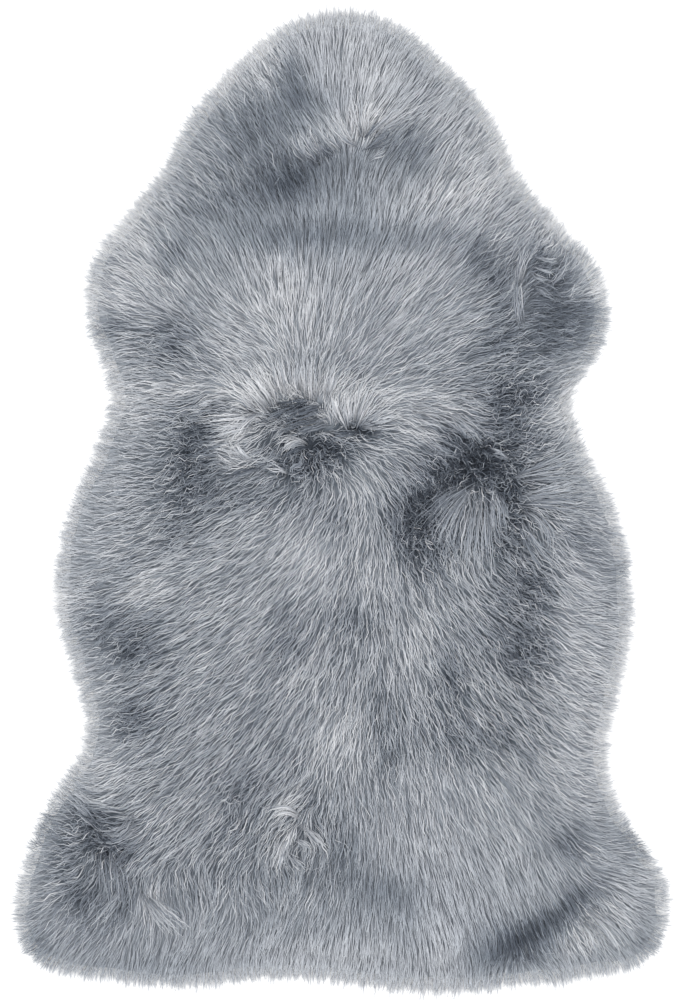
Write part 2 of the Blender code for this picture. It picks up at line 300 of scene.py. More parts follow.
# Places where the wool lies another way than the plain lie around the whorl: heading is the way its
# tips point, from +X in degrees, and reach is how far round the place it holds.
SWEEPS = table("""
name x y heading reach
brow_left -93 429 128 36
cheek_left -160 352 148 41
temple_left -68 336 122 29
head_tuft_left -19 371 138 16
head_tuft_left_end -42 385 124 12
head_tuft_right 48 373 44 18
head_tuft_right_end 79 391 38 18
head_tuft_under 42 346 48 12
neck_low_left -83 301 115 23
neck_low_right 36 311 84 21
neck_right_side 150 363 54 25
left_foreleg_top -235 258 152 27
left_lobe_low -231 157 190 18
left_lobe_side -249 224 165 18
left_lobe_in -196 168 180 16
left_shoulder_in -174 262 122 16
left_back -119 170 154 18
left_back_in -93 163 157 16
left_armpit_turn -160 141 156 12
left_tongue_top -145 106 218 13
left_waist -211 106 182 27
fan_left -81 108 140 12
left_tongue -112 86 184 13
left_cross -104 68 220 9
left_cross_light -110 47 135 8
hollow_left -75 65 238 10
tuft_arch_root -32 61 130 5
tuft_arch -44 72 175 6
tuft_arch_end -58 59 236 7
hollow_band -39 94 200 10
hollow_band_right -22 82 192 8
point_left -5 90 114 8
point_middle 8 100 90 9
point_right 26 94 52 9
point_side 38 76 4 9
point_under 6 64 340 8
hollow_turn -22 65 350 6
hollow_right -30 53 325 7
whorl_right -10 44 310 9
whorl_right_side 11 34 316 12
whorl_low_right -19 22 288 9
whorl_low -39 24 252 8
whorl_low_left -58 18 226 10
whorl_left -81 30 200 11
whorl_streak -64 36 155 5
left_flank -129 -2 208 25
left_spine -81 -5 214 16
spine_turn -34 -17 238 18
spine_low 4 -27 252 14
spine_right 61 -25 280 14
right_back 86 65 330 21
right_back_low 127 72 310 14
under_whorl_right 66 16 298 18
parting_top 141 96 332 13
right_rib 168 98 22 18
right_rib_side 209 94 28 21
right_waist 231 112 52 14
right_waist_side 225 55 44 18
parting_left 111 24 212 12
parting_low_left 104 -19 240 12
parting_low 117 -7 238 12
parting_mid 138 -9 262 12
parting_right 161 6 278 9
parting_out 219 32 16 16
right_side 266 22 6 23
twist_top 227 10 4 10
twist 208 -17 318 10
twist_in 193 -29 274 9
twist_end 219 -45 308 10
twist_out 247 -18 338 13
right_belly_top 266 -44 334 15
right_belly_rim 282 -68 16 12
tongue 122 -46 268 16
right_flank 186 -60 308 13
right_belly 225 -84 322 18
right_belly_side 268 -99 352 21
right_loin 185 -132 322 21
right_loin_turn 132 -161 300 23
right_lobe_ridge 186 227 80 13
right_lobe_top 210 270 68 14
right_lobe_top_side 243 245 56 16
right_lobe_side 263 225 40 14
right_lobe_patch 202 233 340 9
right_lobe_patch_low 208 213 332 9
right_lobe_turn 222 239 50 7
right_lobe_hollow 214 190 352 13
right_lobe_rim 264 190 6 16
right_lobe_low 227 157 6 14
right_lobe_foot 237 135 34 14
right_shoulder_in 149 201 26 16
right_shoulder_low 155 152 16 21
right_shoulder_turn 171 205 55 8
left_thigh_top -216 -278 208 18
left_thigh_curl -236 -318 160 9
left_thigh_hook -216 -333 196 8
left_thigh_edge -262 -304 150 12
left_thigh_side -282 -337 172 16
left_thigh_in -244 -360 272 10
left_thigh_in_low -241 -382 264 8
left_hind_side -292 -384 200 16
left_hind -286 -425 234 16
left_hind_mid -257 -411 246 9
left_hind_turn -233 -403 242 8
left_hind_low -262 -453 236 14
left_hind_line -216 -396 270 9
left_rump_part -199 -386 282 10
left_rump_sweep -173 -413 312 14
left_rump_top -149 -388 298 14
left_tail -206 -443 262 16
tuft_top_left -81 -279 222 13
tuft_root -42 -296 212 8
tuft_left -91 -310 248 10
tuft_mid -63 -323 226 8
tuft_low -58 -343 258 7
tuft_side -26 -331 314 8
tuft_under -56 -364 304 8
tuft_below -87 -396 312 13
tail_right 40 -304 282 27
right_thigh 225 -372 306 14
right_hind_top 270 -364 348 14
right_hind_rim 307 -371 342 16
valley_above 179 -390 286 23
valley_side 216 -433 284 10
valley_end 261 -411 326 10
right_hind 276 -435 312 18
right_rump_rim 204 -470 310 12
right_rump_fan 160 -472 248 13
""")

# Locks that lie on the rest. Each springs from a root `root` wide, heading that way, turns by `curl`
# degrees over its length, anticlockwise if positive, and ends `tip` wide. The darkest, near tone 100, are
# painted shadow: dark strands laid where there is only a shaded gap between locks; the palest, such as
# glint, are partly painted highlight.
TUFTS = table("""
name x y heading curl length root tip tone
point_left 8 75 108 -12 35 8 23 218
point_right 15 77 74 -14 49 6 27 214
point_side 0 81 128 -38 29 6 10 200
point_east 18 78 16 8 45 6 31 206
point_shade 24 71 180 6 39 3 3 100
crown_left -73 95 126 10 47 23 45 222
crown -46 107 100 0 43 31 41 214
crown_pale -30 105 92 0 47 14 16 222
crown_right -14 101 88 -22 39 6 16 204
crown_shade -64 100 6 4 35 7 6 92
hollow -15 90 192 6 45 29 25 124
hollow_bank -33 104 207 2 43 4 5 100
arch -35 59 132 104 32 4 10 222
arch_in -37 59 152 72 23 3 8 196
arch_shade -30 57 172 48 33 3 3 98
hollow_eye_top -39 35 95 190 21 3 3 170
hollow_eye_low -51 42 265 190 21 3 3 160
hollow_streak -54 31 152 12 21 3 9 218
tongue_lock -80 92 198 46 45 4 15 228
tongue_bank -90 82 182 10 45 16 27 222
tongue_shade -93 94 128 4 27 1 3 96
cross -86 42 174 -62 36 6 9 220
cross_shade -81 36 190 12 45 3 8 110
chevron -130 98 142 74 15 2 6 216
brow_under -16 345 118 4 18 26 16 144
brow_shade 22 356 20 20 40 5 10 140
head_left 18 360 157 -52 37 5 14 208
head_left_out -1 356 150 -42 35 6 12 204
brow_lock_left -18 350 140 -34 34 6 14 212
brow_lock_end -34 346 134 -22 34 6 14 200
head_top 23 367 96 -8 43 5 25 214
head_right 28 367 40 -2 66 6 25 200
brow_gap 24 367 46 -4 20 3 7 94
brow_gap_low 32 363 32 4 20 2 4 100
brow_stroke 62 368 40 0 22 1 2 108
head_streak 26 344 31 2 21 2 6 218
throat_lock -24 344 140 -14 37 8 16 176
fan_left 133 19 202 30 66 8 16 160
fan_low 130 12 228 22 62 6 25 182
tongue 142 7 262 6 74 21 37 196
tongue_right 155 14 280 -4 41 12 21 168
parting_top 99 90 338 -24 49 16 12 186
parting_streak 171 43 146 6 23 3 7 208
rays_high 177 26 12 4 68 8 35 178
rays 179 3 4 0 70 10 39 182
twist_out 188 -9 344 -78 51 4 14 182
twist 182 -17 286 26 57 8 21 160
ridge_low 183 177 101 -12 47 10 10 186
ridge_high 179 221 86 -24 53 9 18 192
patch_top 195 249 344 10 23 4 2 208
patch_mid 191 239 352 -12 25 4 3 200
patch_low 190 233 322 16 21 4 3 190
patch_foot 189 220 344 -14 29 4 3 190
patch_side 209 220 34 28 35 6 7 180
glint 230 206 58 -4 16 2 4 210
tuft_arch -41 -318 120 96 36 4 11 232
tuft_low -44 -320 238 22 33 4 9 234
tuft_tail -51 -332 240 18 43 8 12 224
tuft_right -40 -325 336 -46 39 4 11 216
tuft_hook -46 -340 14 -100 21 3 6 222
tuft_swirl -54 -351 306 14 27 4 8 192
tuft_shade -39 -311 52 0 21 1 2 104
thigh_fold -209 -314 264 -92 49 14 16 196
thigh_edge -248 -326 124 26 37 6 12 176
thigh_down -236 -349 286 -14 59 25 25 150
thigh_shade -251 -329 318 8 35 7 9 92
thigh_rays -196 -394 312 4 53 14 25 196
hind_lock -221 -386 246 -18 47 8 10 198
valley_right 245 -413 320 -26 55 21 39 200
""")

# Places where the wool lies sleeker than elsewhere, up to a share of 1 for no waves at all, or rougher
# where the share is negative.
SLEEK = table("""
name x y length width turn share
head_top 9 445 103 77 90 1.0
head -1 342 103 41 0 0.3
neck -11 260 133 31 0 0.5
fan -27 219 82 46 0 0.65
lobe 237 190 35 41 90 0.8
left_side -263 -68 23 103 0 0.5
right_side 278 -202 27 164 0 0.5
tail -11 -456 308 35 0 1.1
rump 102 -376 92 56 0 0.9
whorl -42 81 51 31 0 -0.4
flank 173 4 31 51 0 -0.2
loin 163 -202 51 51 0 -0.2
tuft -42 -325 35 27 0 -0.4
""")
SWEEP_GAIN = 3.0  # strength of a named sweep against the plain lie
SPINE_FALL = 90.0  # how steeply the lie turns tailwards below the whorl
SPINE_COMB = 0.0007  # how much more of it turns tailwards with the square of the distance
SPINE_RUN = 90.0  # distance below the whorl over which it does so
SPINE_BEND = 78.0  # how far to the right the middle line bends
RIM_TURN = 24.0  # distance over which the wool at the rim turns to point straight out
RIM_PULL = 1.5  # strength of that turn

# Tone of the wool by its distance from the rim, in steps of 255, and the tones that the palette's dark and
# pale ends stand for. The paler levels at the rim are painted light on the thin tips that lie over the
# floor.
TONE_DEPTHS = (-12, 3, 10, 22, 45, 80, 130, 190)
TONE_LEVELS = (233, 216, 204, 200, 199, 199, 199, 199)
SHADE_GAIN = 1.3
TONE_DRIFT = (4, 24)  # strength and spacing of the loose drift of tone
TONE_LOW = 40
TONE_HIGH = 245
SLEEK_RANGE = (-0.7, 1)  # of what the rows of SLEEK add up to

MAP_STEP = 3.0
MAP_MARGIN = 24.0
BLOCK = 4000  # points that are measured against the rim at a time

# The strands. A pair named BY_WAVE gives a value in sleek wool and what fully wavy wool adds to it,
# one named SPREAD the least and greatest share at random, and what ends in OWN the random spread of
# each strand by itself, beside what it shares with its neighbours.
STRAND_PITCH = 3.85
ROOT_MARGIN = 5.0  # no strand is rooted nearer to the rim
WISP = 7.0  # strands this near each other share their sway, lift and tone
PATH_STEP = 4.0  # each strand's way over the pelt is traced in steps of this length
PATH_STEPS = 17
STRAND_LENGTH = 46.0
LENGTH_DRIFT = 0.25  # share by which strands grow longer or shorter from place to place
LENGTH_SPREAD = (0.8, 1.15)
LENGTH_BY_WAVE = (1.05, -0.3)
RIM_TIP = (-9.0, 13.0)  # how far inside the rim the last tips end, from past it to well within
LEAST_SHARE = 0.15  # of its length that a strand keeps when it is cut short at the rim
STRAY = 8.0  # degrees
STRAY_PITCH = 11  # strands this near each other stray alike
STRAY_OWN = 0.5
WAVE = 1.2
WAVE_LENGTH = 22.0
WAVE_SPREAD = (0.5, 1.4)
SWING_BY_WAVE = (0.5, 0.7)
PERIOD_BY_WAVE = (1.3, -0.4)
WAVE_START = 2.5  # the wave is full from one part in this many of the length
PHASE_PITCH = 16  # and their waves are alike within this distance
PHASE_OWN = 0.5
WISP_GATHER = 1.6
GATHER_BY_WAVE = (0.2, 0.8)
GATHER_OWN = 0.4
ROOT_SINK = 8.0  # how deep in the pile a strand starts
ROOT_SINK_SHARE = 0.6  # of the pile's height at most
SINK_BY_WAVE = (0.35, 0.65)
LIFT_DRIFT = 0.8
LIFT_OWN = 0.7
LIFT_START = 4  # and the lift likewise
LIFT_BY_WAVE = (0.3, 0.7)
LEAST_HEIGHT = 1.2

CRIMP_TONES = (186, 120)  # tone of the wool where its crimp starts to show, and where it is full
CRIMP_SLEEK = 0.8
CRIMP_SHORTER = 0.55
CRIMP_ROOT_SHADE = 70.0  # painted shade: how much darker the roots of fully crimped wool are, deep in the darkest hollows
CRIMP_WAVE = 1.5
CRIMP_SPREAD = (0.5, 1.5)
CRIMP_PERIOD = 0.5
CRIMP_LIFT = 2.0
CRIMP_STRAY = 22.0
CURL_PITCH = 3.0  # short curled strands that fill the darkest hollows
CURL_LENGTH = 15.0
CURL_SPREAD = (0.7, 1.3)
CURL_STRAY = 36.0

# Where the lie spreads, the wool parts: more strands, shorter ones and shallower roots.
PARTED = 0.06  # spreading of the lie, in 1/mm, at which it parts in full
PARTED_LAYERS = 2  # times as many strands are rooted there
PARTED_POWER = 1.5
PARTED_CRIMP = 0.6
PARTED_SHORTER = 0.35
PARTED_SINK = 0.85

STRAND_WIDTH = 1.0  # a strand stands for about a hundred fibres of 0.03 mm, coarse enough to show
WIDTH_SPREAD = (0.7, 1.2)
WIDTH_LEAST = 0.45
WIDTH_BY_LENGTH = 0.6
WIDTH_BY_CRIMP = 0.4
WIDTH_RANGE = (0.4, 1)
RIM_BAND = 16.0  # finer and closer strands grow this near the rim
RIM_WIDTH = 0.6

TONE_WISP = 3
TONE_OWN = 23
TONE_BY_WAVE = (0.15, 0.85)
TONE_BY_CRIMP = 0.9
SLEEK_TONE = 5.0
TIP_SCATTER = 6.0  # how far apart neighbours end where the tone changes

# The locks that lie on the rest. Pairs here are the least and greatest of a random draw.
TUFT_STATIONS = 8
TUFT_STRANDS = 1.7  # strands for each millimetre of a tuft's width
TUFT_LEAST = 4  # strands that every lock has besides
TUFT_START = (-0.15, 0.2)
TUFT_REACH = (0.6, 1.05)
TUFT_ROUND = 0.3  # how much later its outer strands start, which rounds its root
TUFT_STRAY = 4.0
TUFT_SWING = (0.6, 1.5)
TUFT_WAVE_LENGTH = 15
TUFT_PHASE = 5  # radians by which the waves shift across the lock
TUFT_ASIDE = 0.5
TUFT_RISE = 2.4
TUFT_ARCH = ((0, 0.12, 0.4, 1), (-2.0, 0.4, 1, 0.5))  # share of the rise along its length
TUFT_LIFT = 0.6
TUFT_WIDTH = (0.7, 1.1)
TUFT_TONE_OWN = 22
TUFT_TIP_TONE = 14  # how much paler its tip is than its root
TUFT_EVEN = 0.6  # place along its length that is neither darker nor paler
TUFT_TONE = (0.7, 0.3)  # shares of its own tone and of the tone round it
TUFT_DARKER = 4
TUFT_ALONG = 0.05  # where its roots start on the scale that darkens a strand's root

STATIONS_ALONG = np.array([0.0, 0.28, 0.54, 0.79, 1.0])
FULLNESS = ((0.0, 0.3, 0.6, 0.8, 1.0), (0.7, 0.9, 1.0, 0.7, 0.4))  # share of the width along a strand
RING_CORNERS = (90, 210, 330)
FLATNESS = 0.5
EDGE_SHADE = 0.08  # painted shade: how much darker a strand's sides are than its ridge, on the tone scale
STRIP = 0.004  # least width of a face on the UV map
BANDS = ("wool_neck", "wool_shoulder", "wool_back", "wool_loin", "wool_rump")

UNDERWOOL_INSET = 14.0
UNDERWOOL_RAGGED = 3.5  # its rim wanders by this much either way, over RAGGED_PITCH
RAGGED_PITCH = 20.0
UNDERWOOL_SINK = 7.5
UNDERWOOL_LEAST = 3
UNDERWOOL_FADE = 14.0  # its last band turns paler, so that its painted shade fades into the tips
# Its colour follows the wool's tone as painted shade in the gaps between the strands: paler in the last
# band and where the wool lies sleek, and a little darker than the wool.
UNDERWOOL_PALER = 0.3
UNDERWOOL_SLEEK = 0.5
UNDERWOOL_DARKER = 0.06
UNDERWOOL_GRID = (54, 84)
HIDE_GRID = (24, 38)
SLAB_CORNERS = ((-90, 490), (-300, -470), (300, -470), (90, 490))  # nape, tail, tail and nape

# What the patterns on the underwool and the suede repeat at.
CLUMP_SIZE = 50 / 7  # seven felted clumps of underwool in 50 mm
CLOUD_SIZE = 500 / 7  # seven soft clouds on the suede in 500 mm
NAP_SIZE = 10 / 9  # nine in 10 mm: real nap is 0.3 mm, and this is as fine as shows

# Sockets of a Mix node that mixes colours: its share, its two colours and what comes out.
MIX_SHARE, MIX_FIRST, MIX_SECOND, MIX_RESULT = 0, 6, 7, 2

# Camera, floor and lamp. The render's height and its scale set how high the camera hangs.
IMAGE_HEIGHT = 1000
MM_PER_PIXEL = 1.0256
LENS = 85.0
SENSOR = 36.0
VIEW_SHIFT = (-2.0, 3.5)
FLOOR_SIZE = 12000
FLOOR_DROP = 0.5
LAMP_SIZE = 1600
LAMP_PLACE = (-100, 0, 2400)
LAMP_WATTS = 36.0


# ---- the pelt's outline ----
def outline():
    """The rim as a closed loop, anticlockwise: a Catmull-Rom curve through the stations down the left
    side, the tail end and the stations up the right side."""
    left = [(-row.left, row.along) for row in STATIONS]
    tail = [(row.across, row.along) for row in TAIL_END]
    right = [(row.right, row.along) for row in reversed(STATIONS)]
    knots = np.array(left + tail + right, float) - CENTRE
    before = np.roll(knots, 1, axis=0)
    after = np.roll(knots, -1, axis=0)
    beyond = np.roll(knots, -2, axis=0)
    t = (np.arange(SPAN_STEPS) / SPAN_STEPS)[None, :, None]
    a, b, c, d = (rows[:, None, :] for rows in (before, knots, after, beyond))
    curve = b + 0.5 * t * (c - a + t * (2 * a - 5 * b + 4 * c - d + t * (3 * (b - c) + d - a)))
    return curve.reshape(-1, 2)


def resampled(line, count):
    """An open line as `count` points at equal steps of its length, both ends kept."""
    length = np.concatenate([[0], np.cumsum(np.linalg.norm(np.diff(line, axis=0), axis=1))])
    at = np.linspace(0, length[-1], count)
    return np.column_stack([np.interp(at, length, line[:, axis]) for axis in (0, 1)])


def outward(loop):
    """Unit normals of an anticlockwise loop: its tangent turned a quarter turn clockwise."""
    tangent = np.roll(loop, -1, axis=0) - np.roll(loop, 1, axis=0)
    tangent /= np.linalg.norm(tangent, axis=1, keepdims=True)
    return np.column_stack([tangent[:, 1], -tangent[:, 0]])


def inset(loop, depth):
    """The loop moved inwards by `depth` along its normals, in even steps so that bays stay smooth."""
    even = resampled(np.vstack([loop, loop[:1]]), len(loop) + 1)[:-1]
    return even - depth * outward(even)


# ---- maps of the pelt: one value at every MAP_STEP, read in between by linear blending ----
class Maps:
    """Values over the pelt on an even grid, stacked as layers of one array."""

    def __init__(self, loop):
        self.low = loop.min(0) - MAP_MARGIN
        size = loop.max(0) + MAP_MARGIN - self.low
        self.shape = tuple(int(n) + 2 for n in size / MAP_STEP)
        x, y = np.meshgrid(*(np.arange(n) * MAP_STEP for n in self.shape), indexing="ij")
        self.points = np.column_stack([x.ravel(), y.ravel()]) + self.low
        self.layers = {}

    def keep(self, name, values):
        """Keeps one value or vector for each of the points as a layer."""
        self.layers[name] = values.reshape(*self.shape, -1)

    def read(self, name, points):
        """The layer at any points: the four grid values round each, weighted by nearness."""
        layer = self.layers[name]
        at = (points - self.low) / MAP_STEP
        at = np.clip(at, 0, np.array(self.shape) - 1.001)
        cell = at.astype(int)
        share = at - cell
        i, j = cell[..., 0], cell[..., 1]
        u, v = share[..., :1], share[..., 1:]
        near = layer[i, j] * (1 - v) + layer[i, j + 1] * v
        far = layer[i + 1, j] * (1 - v) + layer[i + 1, j + 1] * v
        return near * (1 - u) + far * u


def rim_depth(points, loop):
    """How far inside the rim each point is, below zero outside, and the rim's normal there."""
    along = np.roll(loop, -1, axis=0) - loop
    normals = outward(loop)
    square = (along * along).sum(1)
    depth = np.empty(len(points))
    normal = np.empty((len(points), 2))
    for first in range(0, len(points), BLOCK):
        block = slice(first, first + BLOCK)
        offset = points[block, None, :] - loop[None]
        share = np.clip((offset * along).sum(2) / square, 0, 1)
        miss = offset - share[..., None] * along
        gap = (miss * miss).sum(2)
        nearest = gap.argmin(1)
        rows = np.arange(len(nearest))
        side = -np.sign((miss[rows, nearest] * normals[nearest]).sum(1))
        depth[block] = side * np.sqrt(gap[rows, nearest])
        normal[block] = normals[nearest]
    return depth, normal


def bells(points, rows, amounts):
    """Sum over the rows of amount times a bell: exp of minus half the squared distance, counted in
    the row's length along its turn and in its width across it."""
    total = np.zeros(len(points))
    for row, amount in zip(rows, amounts):
        turn = math.radians(row.turn)
        dx = points[:, 0] + CENTRE[0] - row.x
        dy = points[:, 1] + CENTRE[1] - row.y
        along = (dx * math.cos(turn) + dy * math.sin(turn)) / row.length
        across = (dy * math.cos(turn) - dx * math.sin(turn)) / row.width
        total += amount * np.exp(-0.5 * (along**2 + across**2))
    return total


def drift(points, pitch, rng):
    """Smooth random values from -1 to 1: random numbers `pitch` apart, eased into each other."""
    low = points.min(0) - pitch
    count = ((points.max(0) + 2 * pitch - low) / pitch).astype(int) + 2
    values = rng.uniform(-1, 1, tuple(count))
    at = (points - low) / pitch
    cell = at.astype(int)
    share = at - cell
    share = share * share * (3 - 2 * share)
    i, j = cell[..., 0], cell[..., 1]
    u, v = share[..., 0], share[..., 1]
    near = values[i, j] * (1 - v) + values[i, j + 1] * v
    far = values[i + 1, j] * (1 - v) + values[i + 1, j + 1] * v
    return near * (1 - u) + far * u


def lie_of_wool(points, depth, normal):
    """Unit direction of the tips. Plain lie: straight away from the whorl above it; below it the
    wool parts along a line that bends away to the right as a hyperbolic tangent, and its tailward
    part grows with the square of the distance along, so that it combs towards the tail. The rim's
    normal and the named sweeps are then blended in, each by its own bell."""
    whorl = FORMS[0]
    dy = points[:, 1] + CENTRE[1] - whorl.y
    below = np.clip(-dy, 0, None)
    dx = points[:, 0] + CENTRE[0] - whorl.x - SPINE_BEND * np.tanh(below / SPINE_RUN)
    fall = -(SPINE_FALL + SPINE_COMB * below**2) * np.tanh(below / SPINE_RUN)
    plain = np.column_stack([dx, np.where(dy > 0, dy, fall)])
    plain /= np.linalg.norm(plain, axis=1, keepdims=True) + 1e-9
    rim = np.exp(-np.clip(depth, 0, None) / RIM_TURN)[:, None]
    total = (1 - rim) * plain + RIM_PULL * rim * normal
    for row in SWEEPS:
        gap = (points[:, 0] + CENTRE[0] - row.x) ** 2 + (points[:, 1] + CENTRE[1] - row.y) ** 2
        weight = SWEEP_GAIN * np.exp(-0.5 * gap / row.reach**2)
        heading = math.radians(row.heading)
        total += weight[:, None] * (math.cos(heading), math.sin(heading))
    return total / (np.linalg.norm(total, axis=1, keepdims=True) + 1e-9)


def pile_height(points, depth, relief):
    """Top of the wool: level in the middle, rounding down over the shoulder as a quarter ellipse,
    then falling to the floor in the rim's last band, with the relief added."""
    run = np.clip((depth - RIM_FALL) / SHOULDER_RUN, 0, 1)
    height = RIM_HEIGHT + (PILE_HEIGHT - RIM_HEIGHT) * np.sqrt(1 - (1 - run) ** 2)
    height = height + (RIM_RELIEF + (1 - RIM_RELIEF) * run) * relief
    height = np.maximum(height, LEAST_PILE)
    return height * np.interp(depth / RIM_FALL, *FALL)


def pelt_maps(loop, rng):
    """The maps that every piece is worked out from: how deep inside the rim a place is, the lie of
    the wool, its height, its tone, how sleek it is, and how much it parts, which is how fast the
    lie spreads there."""
    maps = Maps(loop)
    points = maps.points
    depth, normal = rim_depth(points, loop)
    lie = lie_of_wool(points, depth, normal)
    relief = bells(points, FORMS, [row.rise for row in FORMS])
    relief += sum(rise * drift(points, pitch, rng) for rise, pitch in LUMPS)
    # paler towards the rim: painted light on the thin tips there
    tone = np.interp(depth, TONE_DEPTHS, TONE_LEVELS)
    # painted shade in the folds and hollows and painted light on the crests, from the rows of the table
    tone += SHADE_GAIN * bells(points, PAINTED_SHADES_AND_LIGHT, [row.tone for row in PAINTED_SHADES_AND_LIGHT])
    tone += TONE_DRIFT[0] * drift(points, TONE_DRIFT[1], rng)
    maps.keep("depth", depth)
    maps.keep("lie", lie)
    maps.keep("height", pile_height(points, depth, relief))
    maps.keep("tone", tone)
    maps.keep("sleek", np.clip(bells(points, SLEEK, [row.share for row in SLEEK]), *SLEEK_RANGE))
    flow = lie.reshape(*maps.shape, 2)
    spreading = np.gradient(flow[..., 0], MAP_STEP, axis=0)
    spreading = spreading + np.gradient(flow[..., 1], MAP_STEP, axis=1)
    maps.keep("parted", np.clip(spreading / PARTED, 0, 1))
    return maps


# ---- meshes ----
def add_piece(name, points, faces, material, replaced, uv=None, tone=None):
    """A mesh object from whole arrays, in metres at the origin, riding on the one body. uv holds a
    place for each face corner, kept twice: one map for the material and one for a bake."""
    mesh = bpy.data.meshes.new(name)
    sides = faces.shape[1]
    mesh.vertices.add(len(points))
    mesh.vertices.foreach_set("co", (points * METRES).astype(np.float32).ravel())
    mesh.loops.add(faces.size)
    mesh.loops.foreach_set("vertex_index", faces.astype(np.int32).ravel())
    mesh.polygons.add(len(faces))
    mesh.polygons.foreach_set("loop_start", np.arange(0, faces.size, sides, dtype=np.int32))
    mesh.polygons.foreach_set("use_smooth", np.ones(len(faces), bool))
    mesh.update(calc_edges=True)
    if uv is not None:
        for map_name in ("strand", "OFBake"):
            mesh.uv_layers.new(name=map_name).data.foreach_set("uv", uv.astype(np.float32).ravel())
    if tone is not None:
        values = mesh.attributes.new("tone", "FLOAT", "POINT").data
        values.foreach_set("value", tone.astype(np.float32))
    mesh.materials.append(material)
    piece = bpy.data.objects.new(name, mesh)
    bpy.context.scene.collection.objects.link(piece)
    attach(piece, "root")
    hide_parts(replaced)
    return piece


def slab_plan(loop, columns, rows):
    """A grid over the inside of the loop, shape (columns + 1, rows + 1, 2), as a Coons patch: each
    point is the blend of its column's ends plus the blend of its row's ends, less that of the four
    corners. The tail end and the nape are the short sides."""
    even = inset(loop, 0)
    ends = [np.array(end) - CENTRE for end in SLAB_CORNERS]
    nearest = [int(np.linalg.norm(even - end, axis=1).argmin()) for end in ends]
    rim = np.roll(even, -nearest[0], axis=0)
    a, b, c = ((k - nearest[0]) % len(even) for k in nearest[1:])
    left = resampled(rim[: a + 1], rows + 1)[::-1]
    tail = resampled(rim[a : b + 1], columns + 1)
    right = resampled(rim[b : c + 1], rows + 1)
    nape = resampled(np.vstack([rim[c:], rim[:1]]), columns + 1)[::-1]
    u = np.linspace(0, 1, columns + 1)[:, None, None]
    v = np.linspace(0, 1, rows + 1)[None, :, None]
    sides = (1 - u) * left[None] + u * right[None] + (1 - v) * tail[:, None] + v * nape[:, None]
    corners = (1 - u) * (1 - v) * tail[0] + u * (1 - v) * tail[-1]
    corners = corners + (1 - u) * v * nape[0] + u * v * nape[-1]
    return sides - corners


def slab(levels):
    """A closed slab from grids that share one plan: the lowest level is its underside, the highest
    its top, and the borders of all of them, joined in turn, are its edge."""
    columns, rows = (n - 1 for n in levels[0].shape[:2])
    index = np.arange((columns + 1) * (rows + 1)).reshape(columns + 1, rows + 1)
    quads = np.stack([index[:-1, :-1], index[1:, :-1], index[1:, 1:], index[:-1, 1:]], -1)
    quads = quads.reshape(-1, 4)
    border = np.concatenate([index[:-1, 0], index[-1, :-1], index[:0:-1, -1], index[0, :0:-1]])
    size = index.size
    points = [levels[0].reshape(-1, 3), levels[-1].reshape(-1, 3)]
    faces = [quads[:, ::-1], quads + size]
    below = border
    start = 2 * size
    for level in levels[1:-1]:
        points.append(level.reshape(-1, 3)[border])
        ring = start + np.arange(len(border))
        faces.append(np.stack([below, np.roll(below, -1), np.roll(ring, -1), ring], -1))
        below = ring
        start += len(border)
    top = border + size
    faces.append(np.stack([below, np.roll(below, -1), np.roll(top, -1), top], -1))
    return np.vstack(points), np.vstack(faces)


def raised(plan, height):
    """The plan's points at that height, one number or one for each point."""
    return np.concatenate([plan, np.broadcast_to(height, plan.shape[:2])[..., None]], axis=2)


def hide_panel(loop, material):
    """The tanned skin: a flat sheet of even thickness, its cut edge slightly rounded. Gives the
    piece and the line of its edge."""
    plan = slab_plan(inset(loop, HIDE_INSET), *HIDE_GRID)
    small = slab_plan(inset(loop, HIDE_INSET + HIDE_BEVEL), *HIDE_GRID)
    levels = [
        raised(small, 0.0),
        raised(plan, HIDE_BEVEL),
        raised(plan, HIDE_THICK - HIDE_BEVEL),
        raised(small, HIDE_THICK),
    ]
    points, faces = slab(levels)
    return add_piece("hide_skin", points, faces, material, "hide"), inset(loop, HIDE_INSET)


def underwool(loop, maps, material):
    """The dense short wool under the locks: a slab that follows their top from below. Its rim
    wanders in and out at random, so that no even line of it shows through the tips."""
    rim = inset(loop, UNDERWOOL_INSET)
    rng = np.random.default_rng(SEED + 1)
    rim = rim + UNDERWOOL_RAGGED * drift(rim, RAGGED_PITCH, rng)[:, None] * outward(rim)
    plan = slab_plan(rim, *UNDERWOOL_GRID)
    low = HIDE_THICK + SEAT_GAP
    top = np.maximum(maps.read("height", plan)[..., 0] - UNDERWOOL_SINK, low + UNDERWOOL_LEAST)
    points, faces = slab([raised(plan, low), raised(plan, top)])
    flat = points[:, :2]
    # Its colour is painted shade between the strands: the wool's tone, darker, paler where the wool is
    # sleek and in its last band.
    tone = (maps.read("tone", flat)[:, 0] - TONE_LOW) / (TONE_HIGH - TONE_LOW)
    edge = np.clip(1 - (maps.read("depth", flat)[:, 0] - UNDERWOOL_INSET) / UNDERWOOL_FADE, 0, 1)
    tone = tone + UNDERWOOL_SLEEK * maps.read("sleek", flat)[:, 0] - UNDERWOOL_DARKER
    tone = tone + UNDERWOOL_PALER * edge
    return add_piece("underwool", points, faces, material, "fleece", tone=tone)


def staggered(loop, pitch, rng):
    """Points in rows like bricks over the loop's box, each moved at random by up to half a pitch."""
    low = loop.min(0)
    high = loop.max(0)
    along = np.arange(low[1], high[1], pitch * math.sqrt(3) / 2)
    y, x = np.meshgrid(along, np.arange(low[0], high[0], pitch))
    x = x + (np.arange(x.shape[1]) % 2) * pitch / 2
    points = np.column_stack([x.ravel(), y.ravel()])
    return points + rng.uniform(-0.5, 0.5, points.shape) * pitch


